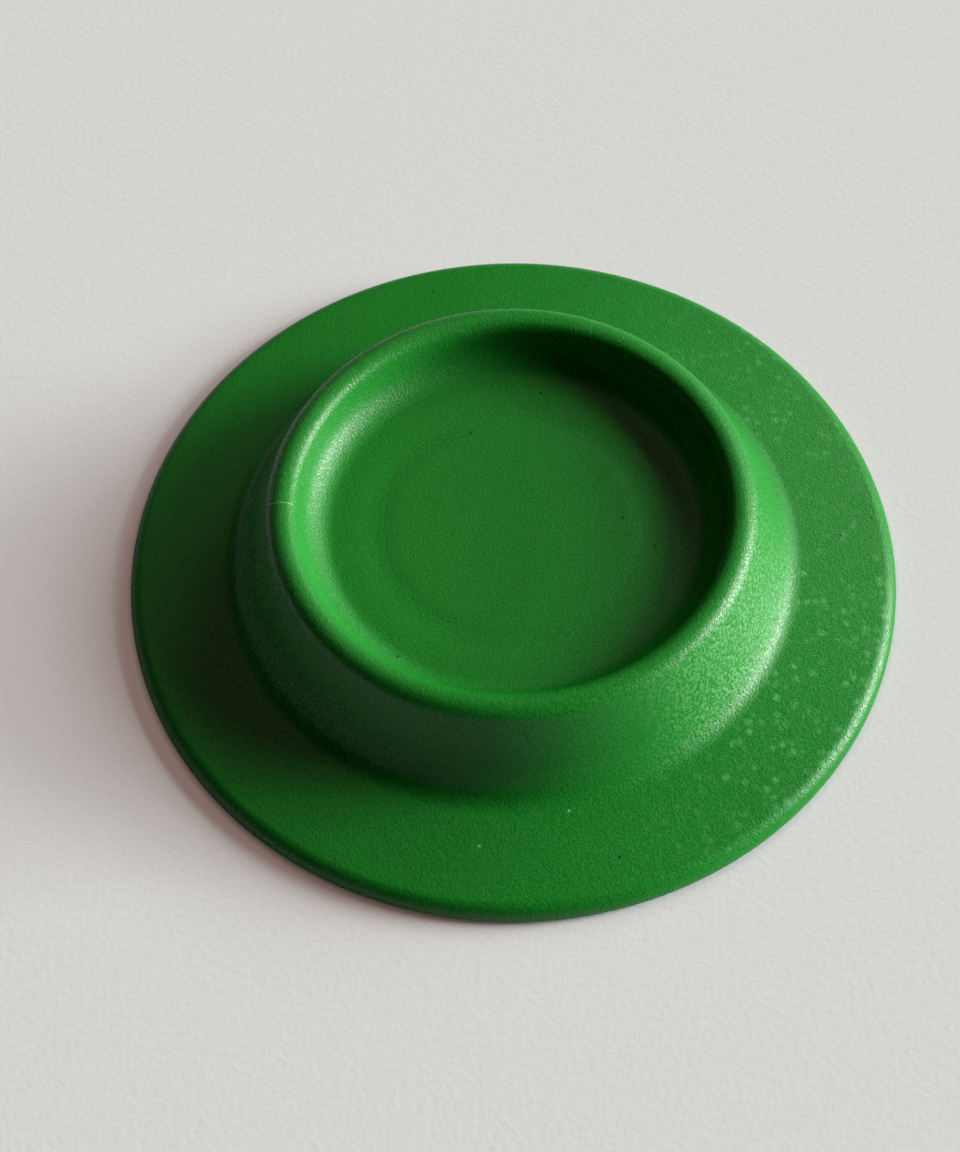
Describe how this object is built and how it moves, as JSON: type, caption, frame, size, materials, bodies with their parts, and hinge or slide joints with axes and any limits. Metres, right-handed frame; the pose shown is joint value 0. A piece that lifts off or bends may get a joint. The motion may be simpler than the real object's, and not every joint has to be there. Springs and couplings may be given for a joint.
{
  "type": "magnetic soap holder",
  "caption": "Round moulded holder with a wide brim and a raised crown, whose recess seats a steel soap cap over a hidden disc magnet; sticks to a wall by an adhesive pad.",
  "frame": {"origin": "centre of the release liner's lower face, which is the lowest face of the part", "axes": "+Z out of the wall through the recess, which is up when the holder lies on a table as pictured; +X to the picture's right, along the liner's pull tab; +Y away from the picture's viewer"},
  "size_m": [0.08, 0.08, 0.0134],
  "materials": {
    "green_plastic": "fine spark-eroded satin",
    "nickel_plating": "bright nickel plating",
    "zinc_plated_steel": "zinc plated",
    "black_rubber": "matt",
    "cover_plastic": "satin",
    "adhesive_foam": "closed-cell foam tape",
    "liner_film": "siliconed release film"
  },
  "bodies": {
    "root": {"holder_body": "green_plastic", "magnet": "nickel_plating", "steel_backing_plate": "zinc_plated_steel", "seal_ring": "black_rubber", "back_cover": "cover_plastic", "adhesive_pad": "adhesive_foam", "release_liner": "liner_film"}
  },
  "joints": []
}
